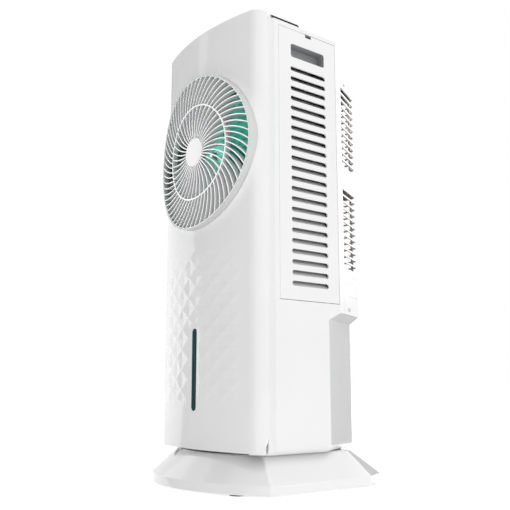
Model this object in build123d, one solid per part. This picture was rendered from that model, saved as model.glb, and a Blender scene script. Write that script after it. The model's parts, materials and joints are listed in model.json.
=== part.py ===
from build123d import *
import math
import os

# Tower evaporative cooler. Millimetres, +Z up, front towards -Y, floor at z = 0.
# The origin is on the floor, in the middle of the box that holds the whole cooler.

# ---------------------------------------------------------------- driving dimensions
BODY_W = 330.0              # casing width
BODY_Z0 = 65.0              # underside of the casing, on top of the base
TOP_Z = 915.0               # flat top of the cooler
HALF_W = BODY_W / 2
WALL = 3.0                  # moulded wall
GAP = 0.4                   # seam between neighbouring covers
BACK_Y = 190.0              # back of the upper casing
FLANK_Y = -97.0             # front shell meets the casing here
FRONT_Y = -147.0            # foremost line of the bowed front
FRONT_R = 530.0             # plan radius of the bowed front
CORNER_R = 28.0             # front corner rounding
SLANT = math.atan(0.516)    # rear corner facets, measured from the side planes

UP_SIDE_Y = 86.0            # where the upper rear facet leaves the side
LOW_SIDE_Y = 52.0           # the same on the tank part
LOW_BACK_Y = 174.0
STEP_Z0 = 315.0             # underside of the rear overhang, inner edge
STEP_Z1 = 330.0             # and outer edge
TOP_EDGE_R = 13.0
BOTTOM_EDGE_R = 14.0
FACET_R = 24.0              # rounding between side and facet
REAR_R = 16.0               # rounding between facet and back

COVE_R = 13.0               # shallow cove behind the front shell
COVE_DEPTH = 3.6
COVE_Y = FLANK_Y + 7.5

FRONT_Z0 = 70.0             # underside of the front shell
HEEL_R = 30.0               # rounded lower rear corner of its flanks
LEVEL_X = -4.0              # level window
LEVEL_W = 15.0
LEVEL_Z0 = 141.0
LEVEL_Z1 = 298.0

GRILLE_Z = 654.8            # fan and grille axis
GRILLE_R = 158.8            # outside of the bezel
BEZEL_IN_R = 156.6
GRILLE_FRONT_Y = -159.5     # rim of the grille at its highest and lowest point
GRILLE_BOW_R = 608.0        # the grille bows round a vertical axis like the front
GRILLE_DISH = 3.0           # and is this much hollow towards its middle
MID_EDGE_R = 157.0          # radius at which the hollow ends
GRILLE_MID_Y = GRILLE_FRONT_Y + GRILLE_DISH
RIM_R = 156.4               # rim ring of the grille itself
RIM_W = 1.4
MID_R = 99.0                # ring between the inner and the outer ribs
MID_W = 3.0
HUB_R = 29.2
HUB_SEAT = 1.2              # the cap's disc lies this deep in the grille's hub
RIB_DEPTH = 11.0
RIB_W = 2.2
INNER_RIB_COUNT = 40
OUTER_RIB_COUNT = 60
INNER_RIB_PATH = [(27.5, 0.3), (62.0, 0.3), (MID_R - 1.0, -5.6)]            # radius, degrees
OUTER_RIB_PATH = [(MID_R - 1.5, -0.9), (127.0, -7.9), (RIM_R - 0.6, -15.3)]

FAN_R = 142.0
FAN_Y = -80.0
BLADE_COUNT = 5
BLADE_START = 20.0          # degrees from +X to the first blade
BLADE_SECTIONS = [(38, 60, 50), (90, 96, 36), (150, 128, 24)]       # radius, chord, pitch angle
BLADE_THICK = 2.8
SHROUD_R = 147.0            # duct round the fan
SHROUD_Y0 = -124.0
SHROUD_Y1 = -46.0
PLATE_Y0 = -96.6            # its flange
PLATE_Y1 = -93.6
SHROUD_SCREW_SPOTS = [(x, z) for z in (352.0, 480.0, 856.0) for x in (-150.0, 150.0)]
BRACKET_Y0 = SHROUD_Y1
BRACKET_Y1 = SHROUD_Y1 + 3.0
MOTOR_R = 47.0
SHAFT_R = 5.0

PANEL_Y0 = -69.0            # side panel edges
PANEL_Y1 = 83.0
PANEL_Z0 = 347.0
PANEL_Z1 = 894.6
SLOT_COUNT = 22
SLOT_PITCH = 20.57
SLOT_H = 9.6
SLOT_TOP_Z = 815.4
FIN_REACH = 15.0            # a scoop behind each slot, from its lower edge inwards and up
FIN_RISE = 12.4
SLOT_Y0 = -39.0
SLOT_Y1 = 55.0
GRIP_Y0 = -38.0             # finger recess
GRIP_Y1 = 52.0
GRIP_Z0 = 835.6
GRIP_Z1 = 864.0
GRIP_DEPTH = 20.0
LATCH_Y0 = 1.0              # catch at the panel's upper edge
LATCH_Y1 = 17.0

PAD_X0 = 115.0              # cellulose pad behind each side panel
PAD_X1 = 141.2
PAD_Y0 = -40.4
PAD_Y1 = 74.0
PAD_Z0 = 357.0
PAD_Z1 = 869.0

REAR_Z0 = 330.0             # rear grille
REAR_Z1 = 840.0
REAR_Y0 = 106.0
REAR_SCREW_SPOTS = [(z, 53.0, side) for z in (341.0, 828.0) for side in (1, -1)]
REAR_SLOT_H = 11.2
REAR_SLOT_ROWS = [(815.0, 14.7), (591.0, 14.1)]    # top of the first slot, pitch
REAR_SLOT_COUNT = 12
REAR_GROOVES = [634.0, 619.5, 606.0, 409.0, 395.0, 381.0, 369.0]
REAR_PAD_Y0 = 150.0
REAR_PAD_Y1 = 176.0

CAP_Z = 895.0               # rear cap sits above this
CAP_Y = -9.0
DECK_Y0 = -87.0
DECK_Y1 = -15.0
DECK_Z = 911.0
BUTTON_R = 9.0
BUTTON_X = [-100.0, -60.0, -20.0, 20.0, 60.0, 100.0]
BUTTON_Y = -66.0
DISPLAY = (48.0, -44.0, -24.0)      # half width, front edge, rear edge
FLAP_HALF_X = 80.0          # filling flap
FLAP_Y0 = 24.0
FLAP_Y1 = 105.8
PIN_Y = 101.0
PIN_Z = 911.4
PIN_R = 1.5
FUNNEL_PIPE = (60.0, 92.0)

TROUGH_PATH = [(129, -56), (129, 92), (94, 163), (-94, 163), (-129, 92), (-129, -56)]
TROUGH_Z0 = 877.0
TROUGH_Z1 = 891.0
DRIP_R = 1.8
HOSE_X = -40.0              # pump hose
HOSE_Y = 119.0
HOSE_R = 6.0
HOSE_BORE = 4.0
HOSE_BEND = 30.0
HOSE_TOP_Z = 884.6
SPIGOT_BORE = 2.4

BASE_HALF_W = 196.0
BASE_APEX_Y = -190.0
BASE_ARC_R = 304.0
BASE_SIDE_Y = 126.0         # where the base's rear facet starts
BASE_BACK_Y = 181.0
BASE_SKIRT_Z0 = 3.0
BASE_SKIRT_Z1 = 20.0
BASE_SLOPE_Z = 63.4
BASE_INSET = 50.0
BASE_SCREW_SPOTS = [(-110, -70), (110, -70), (-110, 60), (110, 60)]
FOOT_SPOTS = [(-128, -138), (128, -138), (-164, 118), (164, 118)]

TANK_INSET = 6.6
TANK_WALL = 2.6
TANK_Z0 = BODY_Z0 + WALL + 0.4
TANK_Z1 = 284.0
TANK_FRONT_Y = -96.0
PUMP_Z0 = TANK_Z0 + TANK_WALL
PUMP_TOP = 124.0
DRAIN_R = 9.0
DRAIN_X = 60.0
DRAIN_Z = 92.0
GLAND_X = -70.0
GLAND_Z = 300.0
GLAND_BORE = 3.8

parts = {}


# ---------------------------------------------------------------- helpers
def block(x0, x1, y0, y1, z0, z1):
    """Box from its two corners."""
    size = (abs(x1 - x0), abs(y1 - y0), abs(z1 - z0))
    return Pos((x0 + x1) / 2, (y0 + y1) / 2, (z0 + z1) / 2) * Box(*size)


def prism(face, z0, z1):
    """A plan outline raised from z0 to z1."""
    return extrude(Pos(0, 0, z0) * face, z1 - z0)


def rod_x(r, x0, x1, y, z):
    return Pos((x0 + x1) / 2, y, z) * Rot(0, 90, 0) * Cylinder(r, abs(x1 - x0))


def rod_y(r, y0, y1, x=0.0, z=GRILLE_Z):
    return Pos(x, (y0 + y1) / 2, z) * Rot(90, 0, 0) * Cylinder(r, abs(y1 - y0))


def rod_z(r, z0, z1, x=0.0, y=0.0):
    return Pos(x, y, (z0 + z1) / 2) * Cylinder(r, abs(z1 - z0))


def tube_y(r_out, r_in, y0, y1, x=0.0, z=GRILLE_Z):
    return rod_y(r_out, y0, y1, x, z) - rod_y(r_in, y0 - 1, y1 + 1, x, z)


def mirrored(shape):
    """The same piece on the other side of the cooler."""
    return mirror(shape, Plane.YZ)


def screw(head_r, head_h, shank_r, length):
    """Pan head screw, head seat at z = 0, shank downwards."""
    head = Pos(0, 0, head_h / 2) * Cylinder(head_r, head_h)
    head = fillet(head.edges().group_by(Axis.Z)[-1], head_h * 0.45)
    slot = Pos(0, 0, head_h) * (Box(head_r * 1.1, 0.9, 1.4) + Box(0.9, head_r * 1.1, 1.4))
    shank = Pos(0, 0, -length / 2) * Cylinder(shank_r, length)
    return head - slot + shank


def group(solids):
    """Several separate solids kept in one node."""
    return Compound(children=[one.solid() for one in solids])


# ---------------------------------------------------------------- plan outlines
def casing_outline(side_y, back_y, inset, front_y):
    """Flat sides, slanted rear corners and a flat back, moved in by inset."""
    cos_a = math.cos(SLANT)
    sin_a = math.sin(SLANT)
    x_side = HALF_W - inset
    y_side = side_y - inset * math.tan(SLANT / 2)
    y_back = back_y - inset
    x_back = (cos_a * HALF_W + sin_a * side_y - inset - sin_a * y_back) / cos_a
    points = [
        (-x_side, front_y), (x_side, front_y), (x_side, y_side),
        (x_back, y_back), (-x_back, y_back), (-x_side, y_side),
    ]
    face = make_face(Polyline(*points, close=True))
    at_side = face.vertices().filter_by(lambda v: abs(v.Y - y_side) < 0.01)
    face = fillet(at_side, FACET_R - inset)
    at_back = face.vertices().filter_by(lambda v: abs(v.Y - y_back) < 0.01 and abs(abs(v.X) - x_back) < 0.01)
    return fillet(at_back, REAR_R - inset)


def front_outline(inset, rear_y):
    """Bowed front with rounded corners and straight flanks."""
    x_side = HALF_W - inset
    radius = FRONT_R - inset
    centre_y = FRONT_Y + FRONT_R
    y_corner = centre_y - math.sqrt(radius ** 2 - x_side ** 2)
    bow = ThreePointArc((-x_side, y_corner), (0, centre_y - radius), (x_side, y_corner))
    rest = Polyline((x_side, y_corner), (x_side, rear_y), (-x_side, rear_y), (-x_side, y_corner))
    face = make_face(bow + rest)
    corners = face.vertices().filter_by(lambda v: abs(v.Y - y_corner) < 0.01)
    return fillet(corners, CORNER_R - inset)


def base_outline(inset):
    """Base plan: arched front, flat sides, slanted rear corners, flat back."""
    cos_a = math.cos(SLANT)
    sin_a = math.sin(SLANT)
    radius = BASE_ARC_R - inset
    centre_y = BASE_APEX_Y + BASE_ARC_R
    x_side = BASE_HALF_W - inset
    y_front = centre_y - math.sqrt(radius ** 2 - x_side ** 2)
    y_side = BASE_SIDE_Y - inset * math.tan(SLANT / 2)
    y_back = BASE_BACK_Y - inset
    x_back = (cos_a * BASE_HALF_W + sin_a * BASE_SIDE_Y - inset - sin_a * y_back) / cos_a
    arc = ThreePointArc((-x_side, y_front), (0, centre_y - radius), (x_side, y_front))
    rest = Polyline(
        (x_side, y_front), (x_side, y_side), (x_back, y_back),
        (-x_back, y_back), (-x_side, y_side), (-x_side, y_front),
    )
    face = make_face(arc + rest)
    return fillet(face.vertices(), 7.0)


# ---------------------------------------------------------------- casing
def casing_solid(inset, front_y, z0, z1, edge_shift):
    """The whole rear casing as a closed block, moved in by inset."""
    low = casing_outline(LOW_SIDE_Y, LOW_BACK_Y, inset, front_y)
    high = casing_outline(UP_SIDE_Y, BACK_Y, inset, front_y)
    body = prism(low, z0, STEP_Z0)
    body += loft([Pos(0, 0, STEP_Z0) * low, Pos(0, 0, STEP_Z1) * high], ruled=True)
    body += prism(high, STEP_Z1, z1)
    faces = body.faces().sort_by(Axis.Z)
    rim = faces[-1].edges().filter_by(lambda e: e.center().Y > front_y + 1)
    body = fillet(rim, TOP_EDGE_R - edge_shift)
    foot = body.faces().sort_by(Axis.Z)[0].edges().filter_by(lambda e: e.center().Y > front_y + 1)
    return fillet(foot, BOTTOM_EDGE_R - edge_shift)


def cove(radius):
    """Cutters for the shallow vertical cove on both sides."""
    x = HALF_W + COVE_R - COVE_DEPTH
    right = rod_z(radius, BODY_Z0 - 5, TOP_Z + 5, x, COVE_Y)
    return right + mirrored(right)


def casing_shell():
    outer = casing_solid(0.0, FLANK_Y, BODY_Z0, TOP_Z, 0.0) - cove(COVE_R)
    void = casing_solid(WALL, FLANK_Y - 1, BODY_Z0 + WALL, TOP_Z - WALL, WALL) - cove(COVE_R + WALL)
    return outer, void


def facet_frame(z, along, side=1):
    """Plane lying on the upper rear facet, z axis pointing out of the cooler."""
    y = UP_SIDE_Y + along * math.cos(SLANT)
    x = HALF_W - along * math.sin(SLANT)
    normal = Vector(side * math.cos(SLANT), math.sin(SLANT), 0)
    return Plane(origin=(side * x, y, z), x_dir=(0, 0, 1), z_dir=normal)


def rear_screws(shank_extra):
    """Screws through the rear grille, or the holes for them when shank_extra > 0."""
    pieces = []
    for z, along, side in REAR_SCREW_SPOTS:
        if shank_extra > 0:
            tool = Pos(0, 0, -8) * Cylinder(1.8 + shank_extra, 24)
        else:
            tool = screw(4.0, 2.2, 1.8, 10.0)
        pieces.append(facet_frame(z, along, side).location * tool)
    return pieces


def make_casing():
    outer, void = casing_shell()
    shell = outer - void
    shell -= block(-HALF_W - 1, HALF_W + 1, CAP_Y, BACK_Y + 1, CAP_Z, TOP_Z + 1)
    shell -= block(-HALF_W - 1, HALF_W + 1, DECK_Y0, DECK_Y1, DECK_Z, TOP_Z + 1)
    window = block(HALF_W - 8, HALF_W + 1, PANEL_Y0 - 0.6, PANEL_Y1 + 0.6, PANEL_Z0 - 1.0, CAP_Z)
    shell -= window
    shell -= mirrored(window)
    shell -= block(-HALF_W, HALF_W, REAR_Y0 - GAP, BACK_Y + 1, REAR_Z0 - GAP, REAR_Z1 + GAP)
    ledge = casing_solid(WALL, FLANK_Y - 1, BODY_Z0 + WALL, TOP_Z - WALL, WALL)
    ledge -= prism(casing_outline(UP_SIDE_Y, BACK_Y, 2 * WALL, FLANK_Y - 2), BODY_Z0, TOP_Z)
    for z0, z1 in ((REAR_Z0 - 3, REAR_Z0 + 20), (REAR_Z1 - 20, REAR_Z1 + 4)):
        shell += ledge & block(-HALF_W, HALF_W, REAR_Y0 - 6, BACK_Y, z0, z1)
    for hole in rear_screws(0.1):
        shell -= hole
    shell -= rod_y(DRAIN_R + 0.35, LOW_BACK_Y - 20, LOW_BACK_Y + 5, DRAIN_X, DRAIN_Z)
    shell -= rod_y(7.1, LOW_BACK_Y - 6, LOW_BACK_Y + 5, GLAND_X, GLAND_Z)
    for x, y in BASE_SCREW_SPOTS:
        shell -= rod_z(2.6, BODY_Z0 - 1, BODY_Z0 + WALL + 1, x, y)
    return shell


def make_tank():
    outer = prism(casing_outline(LOW_SIDE_Y, LOW_BACK_Y, TANK_INSET, TANK_FRONT_Y), TANK_Z0, TANK_Z1)
    foot = outer.faces().sort_by(Axis.Z)[0].edges()
    outer = fillet(foot, 7.0)
    inset = TANK_INSET + TANK_WALL
    inner = prism(
        casing_outline(LOW_SIDE_Y, LOW_BACK_Y, inset, TANK_FRONT_Y + TANK_WALL),
        TANK_Z0 + TANK_WALL, TANK_Z1 + 1)
    inner = fillet(inner.faces().sort_by(Axis.Z)[0].edges(), 4.6)
    tank = outer - inner
    boss = rod_y(DRAIN_R + 5, LOW_BACK_Y - 16, LOW_BACK_Y - WALL - 0.2, DRAIN_X, DRAIN_Z)
    tank += boss - inner
    tank -= rod_y(DRAIN_R + 0.35, LOW_BACK_Y - 20, LOW_BACK_Y + 5, DRAIN_X, DRAIN_Z)
    for x, y in BASE_SCREW_SPOTS:
        tank += rod_z(7, TANK_Z0 + 1, TANK_Z0 + 12, x, y)
        tank -= rod_z(2.2, TANK_Z0 - 1, TANK_Z0 + 9, x, y)
    return tank


def make_drain_plug():
    y = LOW_BACK_Y
    head = rod_y(13.0, y + 0.4, y + 7.0, DRAIN_X, DRAIN_Z)
    head = fillet(head.edges().group_by(Axis.Y)[-1], 2.0)
    wing = block(DRAIN_X - 10, DRAIN_X + 10, y + 5, y + 12, DRAIN_Z - 2, DRAIN_Z + 2)
    shank = rod_y(DRAIN_R, y - 13, y + 1, DRAIN_X, DRAIN_Z)
    groove = tube_y(DRAIN_R + 1, DRAIN_R - 1.6, y - 10.4, y - 7.6, DRAIN_X, DRAIN_Z)
    return head + wing + shank - groove


def make_drain_seal():
    y = LOW_BACK_Y
    return tube_y(DRAIN_R + 0.05, DRAIN_R - 1.6, y - 10.3, y - 7.7, DRAIN_X, DRAIN_Z)


# ---------------------------------------------------------------- base
def make_base():
    def skin(inset, drop):
        skirt = prism(base_outline(inset), BASE_SKIRT_Z0 - (1 if inset else 0), BASE_SKIRT_Z1 - drop)
        low = Pos(0, 0, BASE_SKIRT_Z1 - drop) * base_outline(inset)
        high = Pos(0, 0, BASE_SLOPE_Z - drop) * base_outline(BASE_INSET + inset)
        return skirt + loft([low, high], ruled=True)

    outer = skin(0.0, 0.0)
    neck = prism(base_outline(BASE_INSET + 4.0), BASE_SLOPE_Z - 1, BODY_Z0)
    base = outer + neck - skin(3.0, 2.0)
    for x, y in FOOT_SPOTS:
        base += rod_z(13, BASE_SKIRT_Z0 + 1, BASE_SLOPE_Z, x, y) & outer
    for x, y in BASE_SCREW_SPOTS:
        base -= rod_z(2.6, BASE_SLOPE_Z - 10, BODY_Z0 + 1, x, y)
    return base


def make_foot(x, y):
    pad = rod_z(15, 0, BASE_SKIRT_Z0 + 1, x, y)
    pad = fillet(pad.edges().group_by(Axis.Z)[0], 1.2)
    return pad


def make_base_screws():
    pieces = []
    for x, y in BASE_SCREW_SPOTS:
        one = Pos(x, y, BASE_SLOPE_Z - 2.0) * Rot(180, 0, 0) * screw(5.0, 3.0, 2.1, 12.6)
        pieces.append(one)
    return group(pieces)


# ---------------------------------------------------------------- front shell
def level_bar(width, y0, y1):
    """Upright bar with rounded ends, standing at the front."""
    height = LEVEL_Z1 - LEVEL_Z0
    grow = width - LEVEL_W
    face = Plane(origin=(LEVEL_X, y1, (LEVEL_Z0 + LEVEL_Z1) / 2), x_dir=(1, 0, 0), z_dir=(0, -1, 0))
    return extrude(face * SlotOverall(height + grow, width, rotation=90), y1 - y0)


def make_front_shell():
    outer = prism(front_outline(0.0, FLANK_Y - GAP), FRONT_Z0, TOP_Z)
    rim = outer.faces().sort_by(Axis.Z)[-1].edges().filter_by(lambda e: e.center().Y < FLANK_Y - 1)
    outer = fillet(rim, 3.5)
    void = prism(front_outline(WALL, FLANK_Y + 5), FRONT_Z0 + WALL, TOP_Z - WALL)
    shell = outer - void
    y = FLANK_Y - GAP
    heel = block(-HALF_W - 1, HALF_W + 1, y - HEEL_R, y + 1, FRONT_Z0 - 1, FRONT_Z0 + HEEL_R)
    heel -= rod_x(HEEL_R, -HALF_W - 2, HALF_W + 2, y - HEEL_R, FRONT_Z0 + HEEL_R)
    shell -= heel
    shell -= rod_y(GRILLE_R + 0.3, FRONT_Y - 5, FLANK_Y + 5)
    shell -= level_bar(LEVEL_W + 0.5, FRONT_Y - 3, FRONT_Y + 10)
    return shell


def make_level_window():
    window = level_bar(LEVEL_W, FRONT_Y - 0.6, FRONT_Y + 4)
    return fillet(window.edges().group_by(Axis.Y)[0], 0.8)


def make_window_seal():
    ring = level_bar(LEVEL_W + 8, FRONT_Y + 4.2, FRONT_Y + 7)
    return ring - level_bar(LEVEL_W - 5, FRONT_Y + 3, FRONT_Y + 9)


# ---------------------------------------------------------------- front grille
def grille_plane(y):
    return Plane(origin=(0, y, GRILLE_Z), x_dir=(1, 0, 0), z_dir=(0, -1, 0))


def bowed_layer(lift, depth):
    """Layer under the grille's front surface, which bows round and is hollow in its middle."""
    reach = GRILLE_R + 2
    front = GRILLE_BOW_R + lift
    hollow = GRILLE_DISH * (reach / MID_EDGE_R) ** 2
    rows = []
    for radius in (front, front - depth):
        rows.append([(radius + hollow, -reach), (radius, 0), (radius + hollow, reach)])
    outer, inner = rows
    outline = ThreePointArc(*outer) + Line(outer[2], inner[2])
    outline += ThreePointArc(*reversed(inner)) + Line(inner[0], outer[0])
    section = Plane.XZ * make_face(outline)
    ring = revolve(section, Axis.Z)
    return Pos(0, GRILLE_MID_Y + GRILLE_BOW_R, GRILLE_Z) * ring


def make_bezel():
    ring = tube_y(GRILLE_R, BEZEL_IN_R, GRILLE_MID_Y - 10, FLANK_Y - GAP)
    return ring & bowed_layer(0.4, 120.0)


def polar(radius, degrees):
    angle = math.radians(degrees)
    return Vector(radius * math.cos(angle), radius * math.sin(angle))


def rib_face(path):
    """Plan of one curved rib through three points given by radius and angle."""
    points = [polar(*spot) for spot in path]
    chords = [points[1] - points[0], points[2] - points[0], points[2] - points[1]]
    sides = []
    for shift in (RIB_W / 2, -RIB_W / 2):
        row = []
        for point, run in zip(points, chords):
            normal = Vector(-run.Y, run.X).normalized()
            row.append(point + normal * shift)
        sides.append(row)
    left, right = sides
    outline = ThreePointArc(*left) + Line(left[2], right[2])
    outline += ThreePointArc(*reversed(right)) + Line(right[0], left[0])
    return make_face(outline)


def make_front_grille():
    depth = 60.0
    plane = grille_plane(GRILLE_MID_Y + 45)
    pieces = []
    for path, count in ((INNER_RIB_PATH, INNER_RIB_COUNT), (OUTER_RIB_PATH, OUTER_RIB_COUNT)):
        face = rib_face(path)
        for i in range(count):
            pieces.append(extrude(plane * (Rot(0, 0, i * 360 / count) * face), depth))
    for r_out, width in ((RIM_R, RIM_W), (MID_R, MID_W), (HUB_R - 0.5, 5.5)):
        ring = Circle(r_out) - Circle(r_out - width)
        pieces.append(extrude(plane * ring, depth))
    pattern = pieces[-1].fuse(*pieces[:-1])
    inside = rod_y(RIM_R, GRILLE_MID_Y - 20, FLANK_Y)
    inside -= rod_y(HUB_R + 0.1, GRILLE_MID_Y - 20, GRILLE_MID_Y + HUB_SEAT)
    return bowed_layer(0.0, RIB_DEPTH) & pattern & inside


def make_hub_cap():
    face = rod_y(HUB_R, GRILLE_MID_Y - 2.4, GRILLE_MID_Y + HUB_SEAT)
    face = fillet(face.edges().group_by(Axis.Y)[0], 1.4)
    return face + rod_y(HUB_R - 6.2, GRILLE_MID_Y - 1, GRILLE_MID_Y + 11)


# ---------------------------------------------------------------- fan and motor
def make_fan_shroud():
    plate = block(-155, 155, PLATE_Y0, PLATE_Y1, 288, 878) - rod_y(SHROUD_R, PLATE_Y0 - 1, PLATE_Y1 + 1)
    ring = tube_y(SHROUD_R + 3, SHROUD_R, SHROUD_Y0, SHROUD_Y1)
    shroud = plate + ring
    for i in range(4):
        angle = math.radians(45 + 90 * i)
        x = (SHROUD_R + 3) * math.cos(angle)
        z = GRILLE_Z + (SHROUD_R + 3) * math.sin(angle)
        boss = rod_y(7, SHROUD_Y1 - 20, SHROUD_Y1, x, z) - rod_y(SHROUD_R, SHROUD_Y0, SHROUD_Y1 + 1)
        shroud += boss
        shroud -= rod_y(1.9, SHROUD_Y1 - 14, SHROUD_Y1 + 1, *bracket_screw_spot(i))
    for x, z in SHROUD_SCREW_SPOTS:
        shroud -= rod_y(2.2, PLATE_Y0 - 1, PLATE_Y1 + 1, x, z)
    return shroud


def bracket_screw_spot(i):
    angle = math.radians(45 + 90 * i)
    radius = SHROUD_R + 5.5
    return radius * math.cos(angle), GRILLE_Z + radius * math.sin(angle)


def make_motor_bracket():
    plate = rod_y(52, BRACKET_Y0, BRACKET_Y1)
    for i in range(4):
        angle = 45 + 90 * i
        arm = extrude(grille_plane(BRACKET_Y1) * (Rot(0, 0, angle) * (Pos(78, 0) * Rectangle(160, 18))), 3.0)
        plate += arm
        rib = extrude(grille_plane(BRACKET_Y1 + 9) * (Rot(0, 0, angle) * (Pos(100, 0) * Rectangle(92, 3))), 9.5)
        plate += rib
    plate -= rod_y(11, BRACKET_Y0 - 1, BRACKET_Y1 + 1)
    for i in range(4):
        plate -= rod_y(2.0, BRACKET_Y0 - 1, BRACKET_Y1 + 1, *bracket_screw_spot(i))
        plate -= rod_y(2.2, BRACKET_Y0 - 1, BRACKET_Y1 + 1, *motor_screw_spot(i))
    return plate


def motor_screw_spot(i):
    angle = math.radians(90 * i)
    return 36 * math.cos(angle), GRILLE_Z + 36 * math.sin(angle)


def make_motor_body():
    y0 = BRACKET_Y1
    can = rod_y(MOTOR_R, y0, y0 + 62)
    can = fillet(can.edges().group_by(Axis.Y)[-1], 6.0)
    boss = rod_y(16, y0 + 60, y0 + 70)
    motor = can + boss
    for i in range(24):
        slot = Pos(0, 0, GRILLE_Z) * Rot(0, i * 15, 0) * Pos(MOTOR_R, y0 + 34, 0) * Box(4, 36, 5)
        motor -= slot
    motor -= rod_y(SHAFT_R + 0.05, y0 - 1, y0 + 50)
    for i in range(4):
        motor -= rod_y(2.0, y0 - 1, y0 + 9, *motor_screw_spot(i))
    return motor


def make_shaft():
    return rod_y(SHAFT_R, FAN_Y - 36, BRACKET_Y1 + 48)


def make_fan():
    hub = rod_y(44, FAN_Y - 26, FAN_Y + 24)
    hub = fillet(hub.edges().group_by(Axis.Y)[0], 10.0)
    hub -= rod_y(40, FAN_Y - 12, FAN_Y + 25)
    hub += rod_y(14, FAN_Y - 13, FAN_Y + 20)
    blades = []
    for i in range(BLADE_COUNT):
        angle = math.radians(i * 360 / BLADE_COUNT + BLADE_START)
        faces = []
        for radius, chord, pitch in BLADE_SECTIONS:
            a = angle + math.radians(0.10 * (radius - 38))
            radial = Vector(math.cos(a), 0, math.sin(a))
            around = Vector(-math.sin(a), 0, math.cos(a))
            beta = math.radians(pitch)
            x_dir = around * math.cos(beta) - Vector(0, 1, 0) * math.sin(beta)
            centre = Vector(0, FAN_Y, GRILLE_Z) + radial * radius
            plane = Plane(origin=centre, x_dir=x_dir, z_dir=radial)
            faces.append(plane * RectangleRounded(chord, BLADE_THICK, 1.2))
        blades.append(loft(faces))
    fan = hub
    for blade in blades:
        fan += blade & (rod_y(FAN_R, FAN_Y - 40, FAN_Y + 40) - rod_y(42, FAN_Y - 41, FAN_Y + 41))
    fan -= rod_y(SHAFT_R, FAN_Y - 60, FAN_Y + 60)
    return fan


def make_fan_nut():
    nut = rod_y(9, FAN_Y - 34, FAN_Y - 26.2)
    nut = chamfer(nut.edges().group_by(Axis.Y)[0], 1.2)
    return nut - rod_y(SHAFT_R, FAN_Y - 40, FAN_Y)


def make_motor_screws():
    pieces = []
    for i in range(4):
        x, z = motor_screw_spot(i)
        plane = Plane(origin=(x, BRACKET_Y0, z), x_dir=(1, 0, 0), z_dir=(0, -1, 0))
        pieces.append(plane.location * screw(3.6, 2.4, 1.9, 10.0))
    return group(pieces)


def make_bracket_screws():
    pieces = []
    for i in range(4):
        x, z = bracket_screw_spot(i)
        plane = Plane(origin=(x, BRACKET_Y1, z), x_dir=(1, 0, 0), z_dir=(0, 1, 0))
        pieces.append(plane.location * screw(3.6, 2.4, 1.8, 12.0))
    return group(pieces)


def make_shroud_screws():
    pieces = []
    for x, z in SHROUD_SCREW_SPOTS:
        plane = Plane(origin=(x, PLATE_Y0, z), x_dir=(1, 0, 0), z_dir=(0, -1, 0))
        pieces.append(plane.location * screw(4.0, 2.4, 2.0, 9.0))
    return group(pieces)


# ---------------------------------------------------------------- side panels and pads
def make_side_panel():
    panel = block(HALF_W - WALL, HALF_W, PANEL_Y0, PANEL_Y1, PANEL_Z0, PANEL_Z1)
    outer_edges = panel.faces().sort_by(Axis.X)[-1].edges()
    panel = fillet(outer_edges, 0.8)
    slot_len = SLOT_Y1 - SLOT_Y0
    mid_y = (SLOT_Y0 + SLOT_Y1) / 2
    face_plane = Plane(origin=(HALF_W - 8, mid_y, 0), x_dir=(0, 1, 0), z_dir=(1, 0, 0))
    cuts = []
    fins = []
    for i in range(SLOT_COUNT):
        z_top = SLOT_TOP_Z - i * SLOT_PITCH
        z_mid = z_top - SLOT_H / 2
        cuts.append(extrude(face_plane * (Pos(0, z_mid) * SlotOverall(slot_len, SLOT_H)), 12))
        z_low = z_top - SLOT_H
        profile = make_face(Polyline(
            (HALF_W - 1.4, z_low), (HALF_W - 1.4, z_low - 2.2), (HALF_W - 3.0, z_low - 2.2),
            (HALF_W - FIN_REACH, z_low + FIN_RISE - 2.6), (HALF_W - FIN_REACH, z_low + FIN_RISE),
            close=True))
        fin_plane = Plane(origin=(0, SLOT_Y1 + 3, 0), x_dir=(1, 0, 0), z_dir=(0, -1, 0))
        fins.append(extrude(fin_plane * profile, slot_len + 4))
    panel -= cuts
    panel += fins
    grip = block(HALF_W - GRIP_DEPTH, HALF_W + 1, GRIP_Y0, GRIP_Y1, GRIP_Z0, GRIP_Z1)
    grip = fillet(grip.edges().filter_by(Axis.X), 5.0)
    cup = block(HALF_W - GRIP_DEPTH - 2, HALF_W - WALL + 0.5, GRIP_Y0 - 2, GRIP_Y1 + 2, GRIP_Z0 - 2, GRIP_Z1 + 2)
    panel = panel + cup - grip
    for y in (PANEL_Y0 + 22, PANEL_Y1 - 34):
        panel += block(HALF_W - 7.0, HALF_W - WALL - 0.5, y, y + 12, PANEL_Z0 - 7, PANEL_Z0 + 4)
        panel += block(HALF_W - 7.0, HALF_W - WALL + 0.1, y, y + 12, PANEL_Z0 + 1, PANEL_Z0 + 4)
    notch_z = PANEL_Z1 - 7.0
    panel -= block(HALF_W - 8, HALF_W + 1, LATCH_Y0, LATCH_Y1, notch_z, PANEL_Z1 + 1)
    return panel


def make_latch():
    z0 = PANEL_Z1 - 3.4
    tab = block(HALF_W - 5.0, HALF_W - 1.0, LATCH_Y0 + 0.4, LATCH_Y1 - 0.4, z0, PANEL_Z1 - 0.2)
    stem = block(HALF_W - 8.0, HALF_W - 3.4, LATCH_Y0 + 3, LATCH_Y1 - 3, z0, PANEL_Z1 - 0.2)
    return tab + stem


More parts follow.
